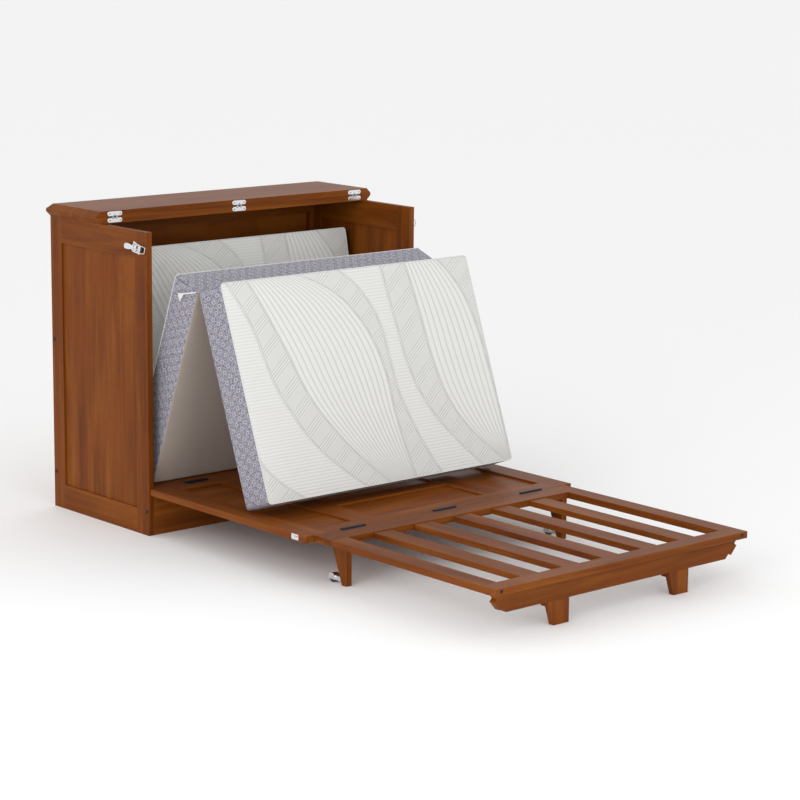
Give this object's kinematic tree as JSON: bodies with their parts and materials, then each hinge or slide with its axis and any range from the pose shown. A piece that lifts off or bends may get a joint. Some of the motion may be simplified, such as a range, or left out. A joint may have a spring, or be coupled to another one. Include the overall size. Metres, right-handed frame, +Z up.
{
  "type": "cabinet bed",
  "caption": "Low wooden cabinet whose hinged front lowers into a slatted bed platform, with a folding lid, draw latches and a mattress in three folds.",
  "frame": {"origin": "on the floor, at the centre of the open bed's bounding box", "axes": "+X to the right seen from the foot of the bed, +Y from the foot towards the cabinet's back, +Z up"},
  "size_m": [1.1352, 2.079, 1.0045],
  "materials": {
    "walnut_wood": "satin red-brown walnut stain with a clear lacquer",
    "bright_metal": "bright nickel plate",
    "black_steel": "black oxide",
    "wheel_plastic": "black nylon",
    "mattress_cloth": "quilted knit cover over foam"
  },
  "bodies": {
    "cabinet": {"left_front_stile": "walnut_wood", "right_front_stile": "walnut_wood", "left_rear_stile": "walnut_wood", "right_rear_stile": "walnut_wood", "left_side_rails": "walnut_wood", "right_side_rails": "walnut_wood", "left_side_panel": "walnut_wood", "right_side_panel": "walnut_wood", "back_panel": "walnut_wood", "back_top_stretcher": "walnut_wood", "back_bottom_stretcher": "walnut_wood", "back_corner_posts": "walnut_wood", "plinth_board": "walnut_wood", "deck_board": "walnut_wood", "deck_cleats": "walnut_wood", "fixed_top_board": "walnut_wood", "cabinet_bolts": "black_steel", "lid_hinge_fixed_leaves": "bright_metal", "cabinet_hinge_pins": "bright_metal", "panel_hinge_cabinet_leaves": "black_steel", "latch_bases": "bright_metal"},
    "lid": {"folding_lid_board": "walnut_wood", "lid_hinge_moving_leaves": "bright_metal"},
    "front_panel": {"front_panel_left_stile": "walnut_wood", "front_panel_right_stile": "walnut_wood", "front_panel_near_rail": "walnut_wood", "front_panel_far_rail": "walnut_wood", "front_panel_mullions": "walnut_wood", "front_panel_insets": "walnut_wood", "panel_hinge_panel_leaves": "black_steel", "flush_hinge_panel_leaves": "black_steel", "flush_hinge_pins": "black_steel", "catch_plates": "bright_metal"},
    "slat_section": {"slat_left_rail": "walnut_wood", "slat_right_rail": "walnut_wood", "slat_near_rail": "walnut_wood", "slat_end_rail": "walnut_wood", "bed_slats": "walnut_wood", "end_apron": "walnut_wood", "apron_end_blocks": "walnut_wood", "foot_leg_cleats": "walnut_wood", "left_foot_leg": "walnut_wood", "right_foot_leg": "walnut_wood", "left_middle_leg": "walnut_wood", "right_middle_leg": "walnut_wood", "flush_hinge_slat_leaves": "black_steel", "slat_frame_bolts": "black_steel", "caster_hoods": "bright_metal", "caster_axles": "bright_metal"},
    "left_wheel": {"left_caster_wheel": "wheel_plastic"},
    "right_wheel": {"right_caster_wheel": "wheel_plastic"},
    "left_lever": {"left_latch_lever": "bright_metal"},
    "right_lever": {"right_latch_lever": "bright_metal"},
    "left_bail": {"left_latch_bail": "bright_metal"},
    "right_bail": {"right_latch_bail": "bright_metal"},
    "mattress_fold": {"mattress_bottom_strip": "mattress_cloth"},
    "mattress_back_third": {"mattress_rear": "mattress_cloth"},
    "mattress_middle_third": {"mattress_middle": "mattress_cloth"},
    "mattress_top_fold": {"mattress_top_strip": "mattress_cloth"},
    "mattress_front_third": {"mattress_front": "mattress_cloth"}
  },
  "joints": [
    {"name": "panel_fold", "type": "hinge", "parent": "cabinet", "child": "front_panel", "pos_m": [0, 0.508, 0.152], "axis": [-1, 0, 0], "range_deg": [0, 90]},
    {"name": "slat_fold", "type": "hinge", "parent": "front_panel", "child": "slat_section", "pos_m": [0, -0.268, 0.1525], "axis": [-1, 0, 0], "range_deg": [0, 180], "deforming": ["mattress_front"]},
    {"name": "lid_fold", "type": "hinge", "parent": "cabinet", "child": "lid", "pos_m": [0, 0.75425, 0.98425], "axis": [1, 0, 0], "range_deg": [0, 180]},
    {"name": "mattress_slide", "type": "slide", "parent": "cabinet", "child": "mattress_fold", "axis": [0, 0.9844, -0.1758], "range_m": [0, 0.24244]},
    {"name": "mattress_back_tilt", "type": "hinge", "parent": "mattress_fold", "child": "mattress_back_third", "pos_m": [0, 0.67208, 0.19481], "axis": [1, 0, 0], "range_deg": [0, 12]},
    {"name": "mattress_middle_tilt", "type": "hinge", "parent": "mattress_fold", "child": "mattress_middle_third", "pos_m": [0, 0.67208, 0.19481], "axis": [-1, 0, 0], "range_deg": [0, 20.4]},
    {"name": "mattress_front_fold", "type": "hinge", "parent": "mattress_middle_third", "child": "mattress_top_fold", "pos_m": [0, 0.31675, 0.79884], "axis": [1, 0, 0], "range_deg": [0, 40.8]},
    {"name": "mattress_front_lift", "type": "slide", "parent": "mattress_top_fold", "child": "mattress_front_third", "axis": [0, 0.3486, 0.9373], "range_m": [0, 0.024]},
    {"name": "left_latch", "type": "hinge", "parent": "cabinet", "child": "left_lever", "pos_m": [-0.558, 0.5595, 0.911], "axis": [0, -0.2924, 0.9563], "range_deg": [0, 150]},
    {"name": "right_latch", "type": "hinge", "parent": "cabinet", "child": "right_lever", "pos_m": [0.558, 0.5595, 0.911], "axis": [0, 0.2924, -0.9563], "range_deg": [0, 150]},
    {"name": "left_bail_swing", "type": "hinge", "parent": "left_lever", "child": "left_bail", "pos_m": [-0.558, 0.57098, 0.91451], "axis": [0, -0.2924, 0.9563], "range_deg": [-150, 0]},
    {"name": "right_bail_swing", "type": "hinge", "parent": "right_lever", "child": "right_bail", "pos_m": [0.558, 0.57098, 0.91451], "axis": [0, 0.2924, -0.9563], "range_deg": [-150, 0]},
    {"name": "left_wheel_spin", "type": "hinge", "parent": "slat_section", "child": "left_wheel", "pos_m": [-0.4435, -0.2755, 0.0135], "axis": [1, 0, 0], "continuous": true},
    {"name": "right_wheel_spin", "type": "hinge", "parent": "slat_section", "child": "right_wheel", "pos_m": [0.4435, -0.2755, 0.0135], "axis": [1, 0, 0], "continuous": true}
  ],
  "couplings": [
    {"joint": "mattress_slide", "follows": "panel_fold", "m_per_rad": 0.15434},
    {"joint": "mattress_back_tilt", "follows": "panel_fold", "ratio": 0.13333},
    {"joint": "mattress_middle_tilt", "follows": "panel_fold", "ratio": 0.22667},
    {"joint": "mattress_front_fold", "follows": "panel_fold", "ratio": 0.45333},
    {"joint": "lid_fold", "follows": "slat_fold", "ratio": 1},
    {"joint": "mattress_front_lift", "follows": "slat_fold", "m_per_rad": 0.0076394},
    {"joint": "left_bail_swing", "follows": "left_latch", "ratio": -1},
    {"joint": "right_bail_swing", "follows": "right_latch", "ratio": -1}
  ]
}
